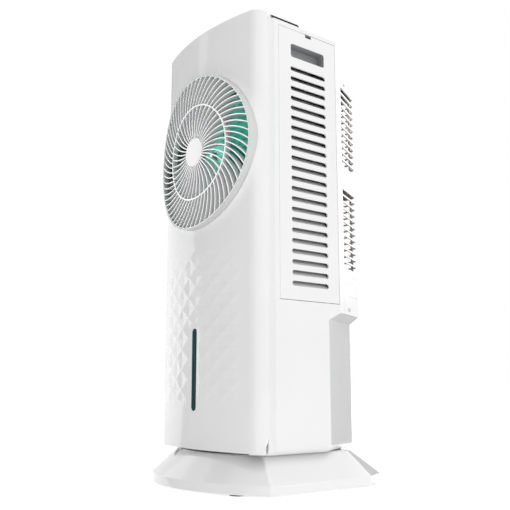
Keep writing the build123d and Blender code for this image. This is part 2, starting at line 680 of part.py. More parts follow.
def make_pad_frame():
    wall = 2.0
    x_out = HALF_W - WALL
    outer = block(PAD_X0 - wall, x_out, PAD_Y0 - wall, PAD_Y1 + wall, PAD_Z0 - wall, PAD_Z1 + wall)
    inner = block(PAD_X0, x_out + 1, PAD_Y0, PAD_Y1, PAD_Z0, PAD_Z1)
    frame = outer - inner
    frame -= block(PAD_X0 - 5, PAD_X0 + 1, PAD_Y0 + 8, PAD_Y1 - 8, PAD_Z0 + 8, PAD_Z1 - 8)
    for z in (520, 700):
        frame += block(PAD_X0 - wall, PAD_X0, PAD_Y0, PAD_Y1, z, z + 8)
    frame -= block(PAD_X0 - 1, PAD_X1, PAD_Y0 + 6, PAD_Y1 - 6, PAD_Z1 - 1, PAD_Z1 + 5)
    return frame


def make_pad():
    return block(PAD_X0 + 0.2, PAD_X1, PAD_Y0 + 0.2, PAD_Y1 - 0.2, PAD_Z0 + 0.2, PAD_Z1 - 0.2)


def make_dust_net():
    x0 = PAD_X1 + 0.3
    x1 = x0 + 1.2
    net = block(x0, x1, PAD_Y0 + 0.3, PAD_Y1 - 0.3, PAD_Z0 + 0.3, PAD_Z1 - 0.3)
    rows = 4
    height = (PAD_Z1 - PAD_Z0 - 20) / rows
    for i in range(rows):
        z = PAD_Z0 + 10 + i * height
        net -= block(x0 + 0.5, x1 + 1, PAD_Y0 + 8, PAD_Y1 - 8, z + 3, z + height - 3)
    return net


# ---------------------------------------------------------------- rear grille and pad
def rear_band(z0, z1):
    """Cutter that runs round both rear facets and the back at one height."""
    return block(-HALF_W, HALF_W, REAR_Y0 + 4.4, BACK_Y + 5, z0, z1)


def make_rear_grille():
    outer, void = casing_shell()
    region = block(-HALF_W, HALF_W, REAR_Y0, BACK_Y + 1, REAR_Z0, REAR_Z1)
    skin = (outer - void) & region
    cuts = []
    ribs = []
    for z_top, pitch in REAR_SLOT_ROWS:
        for i in range(REAR_SLOT_COUNT):
            z1 = z_top - i * pitch
            cuts.append(rear_band(z1 - REAR_SLOT_H, z1))
    for x in (-62.0, 0.0, 62.0):
        ribs.append(block(x - 3, x + 3, BACK_Y - WALL, BACK_Y, REAR_Z0 + 40, REAR_Z1 - 20))
    skin -= cuts
    for side in (1, -1):
        x = HALF_W - (BACK_Y - UP_SIDE_Y) * math.tan(SLANT)
        ribs.append(block(side * (x - 16), side * (x - 10), BACK_Y - WALL, BACK_Y, REAR_Z0 + 40, REAR_Z1 - 20))
    skin += ribs
    grooves = []
    for z in REAR_GROOVES:
        band = rear_band(z - 0.8, z + 0.8)
        grooves.append(band - prism(casing_outline(UP_SIDE_Y, BACK_Y, 1.0, FLANK_Y), z - 2, z + 2))
    skin -= grooves
    for hole in rear_screws(0.1):
        skin -= hole
    return skin


def make_rear_pad():
    return block(-86, 86, REAR_PAD_Y0, REAR_PAD_Y1, PAD_Z0, PAD_Z1)


# ---------------------------------------------------------------- top
def make_control_deck():
    outer = casing_shell()[0]
    deck = outer & block(-HALF_W, HALF_W, DECK_Y0 + GAP, DECK_Y1 - GAP, DECK_Z, TOP_Z)
    deck -= block(-HALF_W, HALF_W, DECK_Y0 - 1, DECK_Y1 + 1, TOP_Z - 1.0, TOP_Z + 1)
    for x in BUTTON_X:
        deck -= rod_z(BUTTON_R + 0.35, DECK_Z - 1, TOP_Z + 1, x, BUTTON_Y)
    half, y0, y1 = DISPLAY
    deck -= block(-half, half, y0, y1, DECK_Z - 1, TOP_Z + 1)
    return deck


def make_display_window():
    half, y0, y1 = DISPLAY
    return block(0.2 - half, half - 0.2, y0 + 0.2, y1 - 0.2, DECK_Z, TOP_Z - 1.0)


def make_button(x):
    cap = rod_z(BUTTON_R, DECK_Z - 5, TOP_Z - 0.2, x, BUTTON_Y)
    cap = fillet(cap.edges().group_by(Axis.Z)[-1], 0.8)
    flange = rod_z(BUTTON_R + 1.5, DECK_Z - 4, DECK_Z - 0.4, x, BUTTON_Y)
    return cap + flange + rod_z(2.0, DECK_Z - 9, DECK_Z - 4, x, BUTTON_Y)


def make_control_box():
    y0 = DECK_Y0 + 3
    y1 = DECK_Y1 - 3
    box = block(-114, 114, y0, y1, 886, DECK_Z) - block(-112, 112, y0 + 2, y1 - 2, 888, DECK_Z + 1)
    for x in (-104, 104):
        for y in (y0 + 8, y1 - 8):
            box += rod_z(4, 887, 896, x, y)
    box -= rod_z(4.2, 880, 889, 0, -50)
    return box


def make_control_board():
    board = block(-110, 110, DECK_Y0 + 6, DECK_Y1 - 6, 896, 897.6)
    for x in BUTTON_X:
        board += block(x - 3, x + 3, BUTTON_Y - 3, BUTTON_Y + 3, 897.6, 899.6)
    board += block(-44, 44, -43, -25, 897.6, 908)
    board += block(74, 104, -46, -26, 897.6, 906)
    board += rod_z(6, 897.6, 908, 60, -36)
    return board


def make_top_cover():
    outer, void = casing_shell()
    cover = (outer - void) & block(-HALF_W, HALF_W, CAP_Y + GAP, BACK_Y + 1, CAP_Z + GAP, TOP_Z + 1)
    high = casing_outline(UP_SIDE_Y, BACK_Y, WALL - 0.1, FLANK_Y)
    low = casing_outline(UP_SIDE_Y, BACK_Y, WALL + 2.2, FLANK_Y)
    slim = casing_outline(UP_SIDE_Y, BACK_Y, WALL + 0.3, FLANK_Y)
    rear = block(-HALF_W, HALF_W, 92, BACK_Y, CAP_Z - 7, CAP_Z + 5)
    cover += (prism(high, CAP_Z + GAP, CAP_Z + 4) - prism(low, CAP_Z, CAP_Z + 5)) & rear
    cover += (prism(slim, CAP_Z - 7, CAP_Z + 1) - prism(low, CAP_Z - 8, CAP_Z + 2)) & rear
    cover -= block(-FLAP_HALF_X, FLAP_HALF_X, FLAP_Y0, FLAP_Y1, CAP_Z, TOP_Z + 1)
    for side in (-1, 1):
        x0 = side * (FLAP_HALF_X + 0.4)
        x1 = side * (FLAP_HALF_X + 5.0)
        cover += block(x0, x1, PIN_Y - 4, PIN_Y + 4, PIN_Z - 4, TOP_Z - WALL + 0.1)
    cover -= rod_x(PIN_R, -FLAP_HALF_X - 4, FLAP_HALF_X + 4, PIN_Y, PIN_Z)
    return cover


def make_fill_lid():
    half = FLAP_HALF_X - 0.6
    lid = block(-half, half, FLAP_Y0 + 0.6, PIN_Y + 1.0, TOP_Z - 2.6, TOP_Z)
    lid -= rod_z(11, TOP_Z - 5, TOP_Z + 1, 0, FLAP_Y0)
    rib = block(-half + 4, half - 4, FLAP_Y0 + 16, FLAP_Y0 + 18, TOP_Z - 6, TOP_Z - 2.5)
    lid += [rib, Pos(0, 40, 0) * rib]
    lid += rod_x(3.2, -half, half, PIN_Y, PIN_Z)
    lid -= rod_x(PIN_R + 0.08, -half - 1, half + 1, PIN_Y, PIN_Z)
    return lid


def make_lid_pin():
    return rod_x(PIN_R, -FLAP_HALF_X - 3.8, FLAP_HALF_X + 3.8, PIN_Y, PIN_Z)


def make_funnel():
    x, y = FUNNEL_PIPE
    tray = block(-79, 79, 20, 108, 866, 903) - block(-77, 77, 22, 106, 868, 904)
    tray += rod_z(13, 288, 867, x, y)
    tray -= rod_z(11, 287, 869, x, y)
    return tray


def trough_plan(width):
    """Open channel plan: a run of rounded bars over the three pads."""
    plan = None
    for start, end in zip(TROUGH_PATH, TROUGH_PATH[1:]):
        bar = SlotCenterPoint(
            ((start[0] + end[0]) / 2, (start[1] + end[1]) / 2), end, width)
        plan = bar if plan is None else plan + bar
    return plan


def make_distributor():
    body = prism(trough_plan(20), TROUGH_Z0, TROUGH_Z1)
    body -= prism(trough_plan(16), TROUGH_Z0 + 2, TROUGH_Z1 + 1)
    drips = []
    for side in (-1, 1):
        for i in range(9):
            drips.append(rod_z(DRIP_R, TROUGH_Z0 - 1, TROUGH_Z0 + 4, side * 129, -48 + i * 15))
    for i in range(9):
        drips.append(rod_z(DRIP_R, TROUGH_Z0 - 1, TROUGH_Z0 + 4, -80 + i * 20, 163))
    body -= drips
    spigot = tube_y(HOSE_BORE - 0.05, SPIGOT_BORE, HOSE_Y + HOSE_BEND, 155.5, HOSE_X, HOSE_TOP_Z)
    body += spigot
    body -= rod_y(SPIGOT_BORE, 141, 157, HOSE_X, HOSE_TOP_Z)
    return body


# ---------------------------------------------------------------- pump and hose
def make_pump_body():
    x, y = HOSE_X, HOSE_Y - 4
    body = block(x - 28, x + 28, y - 22, y + 22, PUMP_Z0 + 12, PUMP_TOP)
    body = fillet(body.edges().filter_by(Axis.Z), 8.0)
    body = fillet(body.edges().group_by(Axis.Z)[-1], 3.0)
    body -= rod_z(18, PUMP_Z0 + 11, PUMP_Z0 + 24, x, y)
    body -= rod_z(2.05, PUMP_Z0 + 20, PUMP_Z0 + 38, x, y)
    body += rod_z(HOSE_BORE - 0.05, PUMP_TOP - 1, PUMP_TOP + 16, HOSE_X, HOSE_Y)
    body -= rod_z(SPIGOT_BORE, PUMP_TOP - 6, PUMP_TOP + 17, HOSE_X, HOSE_Y)
    return body


def make_impeller():
    x, y = HOSE_X, HOSE_Y - 4
    z0 = PUMP_Z0 + 13.0
    rotor = rod_z(15, z0, z0 + 2, x, y) + rod_z(4, z0, z0 + 9, x, y)
    for i in range(6):
        vane = Pos(x, y, z0 + 4.5) * Rot(0, 0, 60 * i) * Pos(9, 0, 0) * Box(11, 1.6, 6)
        rotor += vane
    return rotor + rod_z(2.0, z0 + 8, z0 + 22, x, y)


def make_strainer():
    x, y = HOSE_X, HOSE_Y - 4
    base = block(x - 28, x + 28, y - 22, y + 22, PUMP_Z0, PUMP_Z0 + 12)
    base = fillet(base.edges().filter_by(Axis.Z), 8.0)
    base -= block(x - 25, x + 25, y - 19, y + 19, PUMP_Z0 + 2, PUMP_Z0 + 13)
    for i in range(7):
        dx = -21 + 7 * i
        base -= block(x + dx - 1.5, x + dx + 1.5, y - 30, y + 30, PUMP_Z0 + 3, PUMP_Z0 + 10)
    return base


def make_hose():
    start = (HOSE_X, HOSE_Y, PUMP_TOP + 1)
    corner = (HOSE_X, HOSE_Y, HOSE_TOP_Z)
    end = (HOSE_X, 152.2, HOSE_TOP_Z)
    path = FilletPolyline(start, corner, end, radius=HOSE_BEND)
    plane = Plane(origin=start, z_dir=(0, 0, 1))
    wall = Circle(HOSE_R) - Circle(HOSE_BORE)
    return sweep(plane * wall, path=path)


def make_hose_clips():
    pieces = []
    for z in (330.0, 540.0, 750.0):
        ring = rod_z(HOSE_R + 2, z, z + 8, HOSE_X, HOSE_Y) - rod_z(HOSE_R + 0.05, z - 1, z + 9, HOSE_X, HOSE_Y)
        stem = block(HOSE_X - 3, HOSE_X + 3, HOSE_Y + HOSE_R + 1.5, REAR_PAD_Y0 - 0.1, z, z + 8)
        pieces.append(ring + stem)
    return group(pieces)


# ---------------------------------------------------------------- electrics
def make_cord_gland():
    y = LOW_BACK_Y
    body = rod_y(7.0, y - 5, y + 1, GLAND_X, GLAND_Z)
    collar = rod_y(11.0, y, y + 3, GLAND_X, GLAND_Z)
    nose = rod_y(8.0, y + 2, y + 11, GLAND_X, GLAND_Z)
    nose = fillet(nose.edges().group_by(Axis.Y)[-1], 2.0)
    return body + collar + nose - rod_y(GLAND_BORE, y - 6, y + 12, GLAND_X, GLAND_Z)


def make_harness():
    points = [(0, 12, 703.5), (0, 12, 760), (0, -50, 838), (0, -50, 887)]
    path = FilletPolyline(*points, radius=[40, 40])
    return sweep(Plane(origin=points[0], z_dir=(0, 0, 1)) * Circle(3.5), path=path)


# ---------------------------------------------------------------- list of pieces
def build_all():
    parts["base_plate"] = make_base()
    for name, (x, y) in zip(("front_left", "front_right", "rear_left", "rear_right"), FOOT_SPOTS):
        parts["foot_" + name] = make_foot(x, y)
    parts["base_screws"] = make_base_screws()
    parts["rear_casing"] = make_casing()
    parts["water_tank"] = make_tank()
    parts["drain_plug"] = make_drain_plug()
    parts["drain_seal"] = make_drain_seal()
    parts["front_shell"] = make_front_shell()
    parts["level_window"] = make_level_window()
    parts["window_seal"] = make_window_seal()
    parts["grille_bezel"] = make_bezel()
    parts["front_grille"] = make_front_grille()
    parts["hub_cap"] = make_hub_cap()
    parts["fan_shroud"] = make_fan_shroud()
    parts["shroud_screws"] = make_shroud_screws()
    parts["motor_bracket"] = make_motor_bracket()
    parts["bracket_screws"] = make_bracket_screws()
    parts["motor_body"] = make_motor_body()
    parts["motor_screws"] = make_motor_screws()
    parts["motor_shaft"] = make_shaft()
    parts["fan_blades"] = make_fan()
    parts["fan_nut"] = make_fan_nut()
    pair = {
        "side_panel": make_side_panel(),
        "panel_latch": make_latch(),
        "pad_frame": make_pad_frame(),
        "cooling_pad": make_pad(),
        "dust_net": make_dust_net(),
    }
    for name, shape in pair.items():
        parts[name + "_right"] = shape
        parts[name + "_left"] = mirrored(shape)
    parts["rear_grille"] = make_rear_grille()
    parts["rear_grille_screws"] = group(rear_screws(0.0))
    parts["rear_pad"] = make_rear_pad()
    parts["control_deck"] = make_control_deck()
    parts["display_window"] = make_display_window()
    for i, x in enumerate(BUTTON_X):
        parts[f"button_{i + 1}"] = make_button(x)
    parts["control_box"] = make_control_box()
    parts["control_board"] = make_control_board()
    parts["top_cover"] = make_top_cover()
    parts["fill_lid"] = make_fill_lid()
    parts["lid_pin"] = make_lid_pin()
    parts["fill_funnel"] = make_funnel()
    parts["water_distributor"] = make_distributor()
    parts["pump_body"] = make_pump_body()
    parts["pump_impeller"] = make_impeller()
    parts["pump_strainer"] = make_strainer()
    parts["pump_hose"] = make_hose()
    parts["hose_clips"] = make_hose_clips()
    parts["cord_gland"] = make_cord_gland()
    parts["wiring_harness"] = make_harness()


os.makedirs("parts", exist_ok=True)
build_all()
for name, shape in parts.items():
    export_step(shape, f"parts/{name}.step")
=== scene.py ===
import json
import math

import bmesh
import bpy
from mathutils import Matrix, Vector


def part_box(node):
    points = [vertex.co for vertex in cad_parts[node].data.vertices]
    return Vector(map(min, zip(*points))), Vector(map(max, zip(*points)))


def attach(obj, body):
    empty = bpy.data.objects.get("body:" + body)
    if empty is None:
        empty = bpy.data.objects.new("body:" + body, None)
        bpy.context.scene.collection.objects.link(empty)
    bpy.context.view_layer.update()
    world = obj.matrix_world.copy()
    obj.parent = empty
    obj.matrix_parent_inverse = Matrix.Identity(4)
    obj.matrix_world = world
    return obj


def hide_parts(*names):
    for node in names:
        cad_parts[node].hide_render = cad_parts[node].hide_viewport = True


# Evaporative cooler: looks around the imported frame. Metres, +Z up, front towards -Y.
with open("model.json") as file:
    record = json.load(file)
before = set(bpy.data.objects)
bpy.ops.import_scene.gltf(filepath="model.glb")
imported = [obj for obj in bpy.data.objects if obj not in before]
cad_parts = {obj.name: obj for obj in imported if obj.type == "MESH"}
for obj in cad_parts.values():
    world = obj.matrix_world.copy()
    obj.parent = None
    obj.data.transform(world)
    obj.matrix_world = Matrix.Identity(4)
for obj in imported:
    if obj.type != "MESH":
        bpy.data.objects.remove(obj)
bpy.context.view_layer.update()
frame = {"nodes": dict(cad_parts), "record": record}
MM = 0.001

# ---------------------------------------------------------------- driving sizes
FRONT_BOW_R = 0.530            # plan radius of the bowed front
RELIEF_LOW = 0.140             # faceted field on the front: bottom, top, half width
RELIEF_HIGH = 0.480
RELIEF_HALF_W = 0.1375
RELIEF_DEPTH = 1.7 * MM        # from a lozenge's middle to its ridges
RELIEF_PROUD = 0.12 * MM       # lift of the whole field where it is fully raised
RELIEF_SUNK = 0.06 * MM        # how far its faded border lies under the moulded face
RELIEF_SKIN = 0.8 * MM         # how far the field's back lies inside the moulded wall
FADE_SIDE = 0.035              # widths over which the relief fades out
FADE_LOW = 0.045
FADE_HIGH = 0.09
FADE_WINDOW = 0.008
FADE_EDGE = 0.001              # fully faded this far before the field's edge
LOZENGE_W = 0.050
LOZENGE_H = 0.040
LOZENGE_CELLS = 8              # mesh cells across one lozenge
WINDOW_CLEAR = 0.004           # plain rim kept round the level window

SHEET_PITCH = 7.0 * MM         # cellulose pad: spacing of the fluted sheets
SHEET_THICK = 0.4 * MM
FLUTE_LENGTH = 14.0 * MM
FLUTE_ROWS = 6                 # mesh rows along one flute
FLUTE_LAYERS = 3               # mesh points through the pad's depth
FLUTE_GAP = 0.96               # share of the swing used, so that neighbours stay apart
SHEET_GAP = 0.9                # share of the sheet's thickness used, for the same reason
STRAND_PITCH = 2.6 * MM        # dust net
STRAND = 0.32 * MM
STRAND_SEAT = 0.3              # share of the net's thickness below the strands
NET_BAR = 8 * MM
NET_RAILS = 5

GRIP_SHADE_LINER = 0.5 * MM          # thickness of the grey sheet that paints the shade into each finger recess
GRIP_CORNER = 4.8 * MM
GRIP_GROW = 1.45 * MM          # liner's outline beyond the clear opening
GRIP_MOUTH = 0.6 * MM          # depths behind the panel's face
GRIP_FLOOR = 19.8 * MM
CORNER_R = 28 * MM             # front corner rounding
TOE_BACK = 2.9 * MM            # casing toe: centre before the shell's rear edge
TOE_DEPTHS = (3.6 * MM, 5.4 * MM)
TOE_SPAN = 78                  # degrees round the corner
TOE_SUNK = 2 * MM              # below and above the shell's lower edge
TOE_RISE = 33 * MM
TOP_EDGE_R = 13 * MM           # rounded edge of the top
DECK_SHADE_SPAN = (14, 60)            # how far the black strip of painted gap shade wraps that edge, degrees
DECK_SHADE_SUNK = 0.4 * MM       # that strip's back and face, from the edge's surface
DECK_SHADE_RISE = 0.15 * MM
STROKE = 0.7 * MM              # printed key symbols
STROKE_RISE = 0.12 * MM
MARK_RISE = 0.06 * MM          # display marks
PRINT_SUNK = 0.05 * MM         # how far print reaches into the face below it

GRILLE_WHITE_TO = -0.85        # forward part of a grille face's normal: white up to here, and grey painted on as the flank's shade from here on
GRILLE_SHADE_FROM = -0.45       # and the flank's tone from here on
# grey of the painted shade on the ribs' flanks
FLANK_PAINTED_SHADE = (0.66, 0.66, 0.665, 1)

GREY_GLOW = 0.60               # studio: grey card beside the front and on the floor before it
REAR_GLOW = 0.2                # studio: shaded cards behind the object
NEAR = 0.9                     # distance of the cards that are only reflected
NEAR_REAR = 0.85
FLOOR_CARD_Z = 0.001
GRILLE_AXIS = (0.0, -0.157, 0.655)
GRILLE_R = 0.157
FAN_FRONT_Y = -0.128           # just ahead of the fan, inside the duct


# ---------------------------------------------------------------- node helpers
def shader(name):
    """New node material: (material, nodes, links, principled shader)."""
    mat = bpy.data.materials.new(name)
    mat.use_nodes = True
    nodes = mat.node_tree.nodes
    return mat, nodes, mat.node_tree.links, nodes["Principled BSDF"]


def place(nodes, links, stretch=(1, 1, 1)):
    """Object coordinates, which are the model's metres, stretched if asked."""
    coord = nodes.new("ShaderNodeTexCoord")
    mapping = nodes.new("ShaderNodeMapping")
    mapping.inputs["Scale"].default_value = stretch
    links.new(coord.outputs["Object"], mapping.inputs["Vector"])
    return mapping.outputs["Vector"]


def noise(nodes, links, where, scale, detail=2.0, roughness=0.5):
    """Cloudy factor between 0 and 1."""
    tex = nodes.new("ShaderNodeTexNoise")
    tex.inputs["Scale"].default_value = scale
    tex.inputs["Detail"].default_value = detail
    tex.inputs["Roughness"].default_value = roughness
    links.new(where, tex.inputs["Vector"])
    return tex.outputs["Fac"]


def ramp(nodes, links, factor, low, high, start=0.3, end=0.7):
    """Colour that runs from low to high with the factor."""
    node = nodes.new("ShaderNodeValToRGB")
    node.color_ramp.elements[0].position = start
    node.color_ramp.elements[1].position = end
    node.color_ramp.elements[0].color = (*low, 1)
    node.color_ramp.elements[1].color = (*high, 1)
    links.new(factor, node.inputs["Fac"])
    return node.outputs["Color"]


def spread(nodes, links, factor, low, high):
    """Number that runs from low to high with the factor."""
    node = nodes.new("ShaderNodeMapRange")
    node.inputs["To Min"].default_value = low
    node.inputs["To Max"].default_value = high
    links.new(factor, node.inputs["Value"])
    return node.outputs["Result"]


def bump(nodes, links, height, distance):
    """Normal of a surface that rises by the distance where the height is 1."""
    node = nodes.new("ShaderNodeBump")
    node.inputs["Strength"].default_value = 1.0
    node.inputs["Distance"].default_value = distance
    links.new(height, node.inputs["Height"])
    return node.outputs["Normal"]


def milky(mat, weight, depth):
    """Lets light soak into a finish that is thin or translucent; returns the finish."""
    bsdf = mat.node_tree.nodes["Principled BSDF"]
    bsdf.inputs["Subsurface Weight"].default_value = weight
    bsdf.inputs["Subsurface Scale"].default_value = depth
    return mat


def moulded(name, low, high, rough, grain, depth, coat=0.0, cloud=6.0):
    """Moulded plastic or paint: faint tone drift, uneven gloss and a fine surface grain.

    rough is the roughness from and to, grain the noise scale of the surface and depth its height.
    """
    mat, nodes, links, bsdf = shader(name)
    where = place(nodes, links)
    drift = noise(nodes, links, where, cloud, 3.0)
    links.new(ramp(nodes, links, drift, low, high), bsdf.inputs["Base Color"])
    smudge = noise(nodes, links, where, cloud * 7, 4.0, 0.6)
    links.new(spread(nodes, links, smudge, rough[0], rough[1]), bsdf.inputs["Roughness"])
    fine = noise(nodes, links, where, grain)
    links.new(bump(nodes, links, fine, depth), bsdf.inputs["Normal"])
    bsdf.inputs["Coat Weight"].default_value = coat
    bsdf.inputs["Coat Roughness"].default_value = 0.04
    return mat


# ---------------------------------------------------------------- materials
def white_shell():
    return moulded("white_shell", (0.77, 0.77, 0.775), (0.795, 0.795, 0.798),
                   (0.10, 0.20), 900, 0.012 * MM, coat=1.0)


def deck_gap_shade():
    """Matt black of the strip over the top edge: the deck's black carried round, and painted shade
    of the gap line there, with little sheen at a grazing look.
    """
    mat = moulded("deck_gap_shade", (0.02, 0.02, 0.021), (0.03, 0.03, 0.031),
                  (0.7, 0.85), 900, 0.01 * MM)
    mat.node_tree.nodes["Principled BSDF"].inputs["Specular IOR Level"].default_value = 0.04
    return mat


# Bezel in a darker, duller white than the shell: painted shade, so its side wall reads as shaded.
def bezel_shaded_white():
    return moulded("bezel_shaded_white", (0.60, 0.60, 0.605), (0.63, 0.63, 0.633),
                   (0.30, 0.42), 900, 0.02 * MM)


def grille_flank_shaded():
    """Bright white on the ribs' faces, with painted shade: a duller grey on their flanks, set by
    how far each face turns from the front.
    """
    mat = moulded("grille_flank_shaded", (0.86, 0.86, 0.865), (0.89, 0.89, 0.892),
                  (0.12, 0.24), 900, 0.012 * MM, coat=0.6)
    nodes, links = mat.node_tree.nodes, mat.node_tree.links
    bsdf = nodes["Principled BSDF"]
    face_tone = bsdf.inputs["Base Color"].links[0].from_socket
    # painted shade: the flanks' grey is mixed in by the object-space normal
    coord = nodes.new("ShaderNodeTexCoord")
    split = nodes.new("ShaderNodeSeparateXYZ")
    links.new(coord.outputs["Normal"], split.inputs["Vector"])
    shade_weight = nodes.new("ShaderNodeMapRange")
    shade_weight.inputs["From Min"].default_value = GRILLE_WHITE_TO
    shade_weight.inputs["From Max"].default_value = GRILLE_SHADE_FROM
    links.new(split.outputs["Y"], shade_weight.inputs["Value"])
    mix = nodes.new("ShaderNodeMix")
    mix.data_type = "RGBA"
    links.new(shade_weight.outputs["Result"], mix.inputs["Factor"])
    links.new(face_tone, mix.inputs["A"])
    mix.inputs["B"].default_value = FLANK_PAINTED_SHADE
    links.new(mix.outputs["Result"], bsdf.inputs["Base Color"])
    return mat


def fan_teal():
    return moulded("fan_teal", (0.05, 0.55, 0.40), (0.07, 0.62, 0.46),
                   (0.16, 0.30), 700, 0.02 * MM, coat=0.6)


def dark_plastic():
    return moulded("dark_plastic", (0.10, 0.10, 0.102), (0.135, 0.133, 0.13),
                   (0.42, 0.62), 1600, 0.05 * MM)


def grey_plastic():
    return moulded("grey_plastic", (0.26, 0.265, 0.27), (0.32, 0.325, 0.33),
                   (0.35, 0.52), 1400, 0.04 * MM)


def tank_plastic():
    mat = moulded("tank_plastic", (0.70, 0.71, 0.71), (0.77, 0.78, 0.78),
                  (0.30, 0.46), 800, 0.05 * MM)
    return milky(mat, 0.25, 3 * MM)


def net_plastic():
    return moulded("net_plastic", (0.09, 0.09, 0.092), (0.13, 0.13, 0.132),
                   (0.35, 0.5), 2500, 0.02 * MM)


def key_grey():
    return moulded("key_grey", (0.44, 0.45, 0.46), (0.50, 0.51, 0.52),
                   (0.28, 0.4), 2400, 0.03 * MM, coat=0.2)


def deck_black():
    return moulded("deck_black", (0.010, 0.010, 0.011), (0.018, 0.018, 0.02),
                   (0.07, 0.2), 500, 0.01 * MM, coat=1.0)


def level_glazing():
    """Dark teal tinted acrylic with a slow drift of tone."""
    mat, nodes, links, bsdf = shader("level_glazing")
    where = place(nodes, links, (3, 3, 1))
    drift = noise(nodes, links, where, 9)
    links.new(ramp(nodes, links, drift, (0.003, 0.036, 0.034), (0.006, 0.052, 0.05)),
              bsdf.inputs["Base Color"])
    fine = noise(nodes, links, where, 300)
    links.new(bump(nodes, links, fine, 0.01 * MM), bsdf.inputs["Normal"])
    bsdf.inputs["Roughness"].default_value = 0.12
    bsdf.inputs["Specular IOR Level"].default_value = 0.12
    return mat


def foot_rubber():
    return moulded("foot_rubber", (0.018, 0.018, 0.018), (0.04, 0.04, 0.039),
                   (0.6, 0.85), 2200, 0.12 * MM, cloud=40)


def hose_pvc():
    mat = moulded("hose_pvc", (0.50, 0.54, 0.55), (0.60, 0.63, 0.64),
                  (0.22, 0.36), 600, 0.05 * MM, cloud=30)
    return milky(mat, 0.35, 2 * MM)


def board_green():
    """Circuit board: green lacquer with a net of fine tracks."""
    mat, nodes, links, bsdf = shader("board_green")
    where = place(nodes, links)
    bricks = nodes.new("ShaderNodeTexBrick")
    bricks.inputs["Scale"].default_value = 160
    bricks.inputs["Mortar Size"].default_value = 0.03
    bricks.inputs["Color1"].default_value = (0.012, 0.11, 0.04, 1)
    bricks.inputs["Color2"].default_value = (0.016, 0.14, 0.05, 1)
    bricks.inputs["Mortar"].default_value = (0.05, 0.30, 0.10, 1)
    links.new(where, bricks.inputs["Vector"])
    links.new(bricks.outputs["Color"], bsdf.inputs["Base Color"])
    links.new(bump(nodes, links, bricks.outputs["Fac"], 0.05 * MM), bsdf.inputs["Normal"])
    bsdf.inputs["Roughness"].default_value = 0.32
    return mat


def painted_steel():
    return moulded("painted_steel", (0.25, 0.26, 0.27), (0.33, 0.34, 0.35),
                   (0.34, 0.52), 1200, 0.10 * MM, coat=0.25)


def zinc_steel():
    """Zinc plate: metal with fine stretched brush marks and a slight cloudy bloom."""
    mat, nodes, links, bsdf = shader("zinc_steel")
    where = place(nodes, links, (1, 1, 14))
    bloom = noise(nodes, links, where, 260, 3.0)
    links.new(ramp(nodes, links, bloom, (0.52, 0.53, 0.55), (0.74, 0.74, 0.73)),
              bsdf.inputs["Base Color"])
    links.new(spread(nodes, links, bloom, 0.22, 0.42), bsdf.inputs["Roughness"])
    fine = noise(nodes, links, where, 2400)
    links.new(bump(nodes, links, fine, 0.02 * MM), bsdf.inputs["Normal"])
    bsdf.inputs["Metallic"].default_value = 1.0
    return mat


def pad_cellulose():
    """Kraft paper of the wet pads: fibres, blotches where water has run, soft sheen."""
    mat, nodes, links, bsdf = shader("pad_cellulose")
    where = place(nodes, links)
    run = noise(nodes, links, place(nodes, links, (1, 1, 0.15)), 55, 4.0, 0.65)
    links.new(ramp(nodes, links, run, (0.17, 0.095, 0.045), (0.40, 0.26, 0.14), 0.25, 0.75),
              bsdf.inputs["Base Color"])
    fibre = noise(nodes, links, where, 2600, 3.0, 0.7)
    links.new(spread(nodes, links, fibre, 0.72, 0.95), bsdf.inputs["Roughness"])
    links.new(bump(nodes, links, fibre, 0.12 * MM), bsdf.inputs["Normal"])
    bsdf.inputs["Sheen Weight"].default_value = 0.15
    return mat


SLOT_MATERIALS = (
    white_shell, fan_teal, dark_plastic, grey_plastic, tank_plastic, net_plastic, key_grey,
    deck_black, level_glazing, foot_rubber, hose_pvc, board_green, painted_steel, zinc_steel,
    pad_cellulose,
)


def paint_frame():
    """Gives each CAD node the finish of its material slot, and returns the finishes by name.

    The grille and its bezel then get whites of their own, with painted shade: grey on the grille's
    rib flanks and a darker white on the bezel.
    """
    finishes = {make.__name__: make() for make in SLOT_MATERIALS}
    for row in frame["record"]["subparts"]:
        node = frame["nodes"][row["node"]]
        for slot in node.material_slots:
            slot.material = finishes[row["material_slot"]]
    for node, make in (("front_grille", grille_flank_shaded), ("grille_bezel", bezel_shaded_white)):
        for slot in frame["nodes"][node].material_slots:
            slot.material = make()
    return finishes


# ---------------------------------------------------------------- mesh helpers
def piece(name, bm, finish, body):
    """Turns a bmesh into a piece that rides on a body."""
    bmesh.ops.recalc_face_normals(bm, faces=bm.faces)
    mesh = bpy.data.meshes.new(name)
    bm.to_mesh(mesh)
    bm.free()
    obj = bpy.data.objects.new(name, mesh)
    bpy.context.scene.collection.objects.link(obj)
    mesh.materials.append(finish)
    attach(obj, body)
    return obj


def crease(bm, degrees):
    """Smooth shading with sharp edges where the surface turns by more than this."""
    bmesh.ops.recalc_face_normals(bm, faces=bm.faces)
    for face in bm.faces:
        face.smooth = True
    for edge in bm.edges:
        edge.smooth = edge.calc_face_angle(math.pi) < math.radians(degrees)


def skin_rows(bm, rows):
    """Closed body through rows of verts, each row going once round a cross-section."""
    count = len(rows[0])
    for row, after in zip(rows, rows[1:]):
        for i in range(count):
            j = (i + 1) % count
            bm.faces.new((row[i], row[j], after[j], after[i]))
    bm.faces.new(rows[0])
    bm.faces.new(rows[-1])


def add_bar(bm, low, high):
    """A closed bar between two corners."""
    xs, ys, zs = zip(low, high)
    verts = [bm.verts.new((x, y, z)) for x in xs for y in ys for z in zs]
    for ring in ((0, 1, 3, 2), (4, 6, 7, 5), (0, 4, 5, 1),
                 (2, 3, 7, 6), (0, 2, 6, 4), (1, 5, 7, 3)):
        bm.faces.new([verts[i] for i in ring])


def smoothstep(value, start, end):
    """0 before start, 1 after end and a soft S between them."""
    t = min(max((value - start) / (end - start), 0.0), 1.0)
    return t * t * (3 - 2 * t)


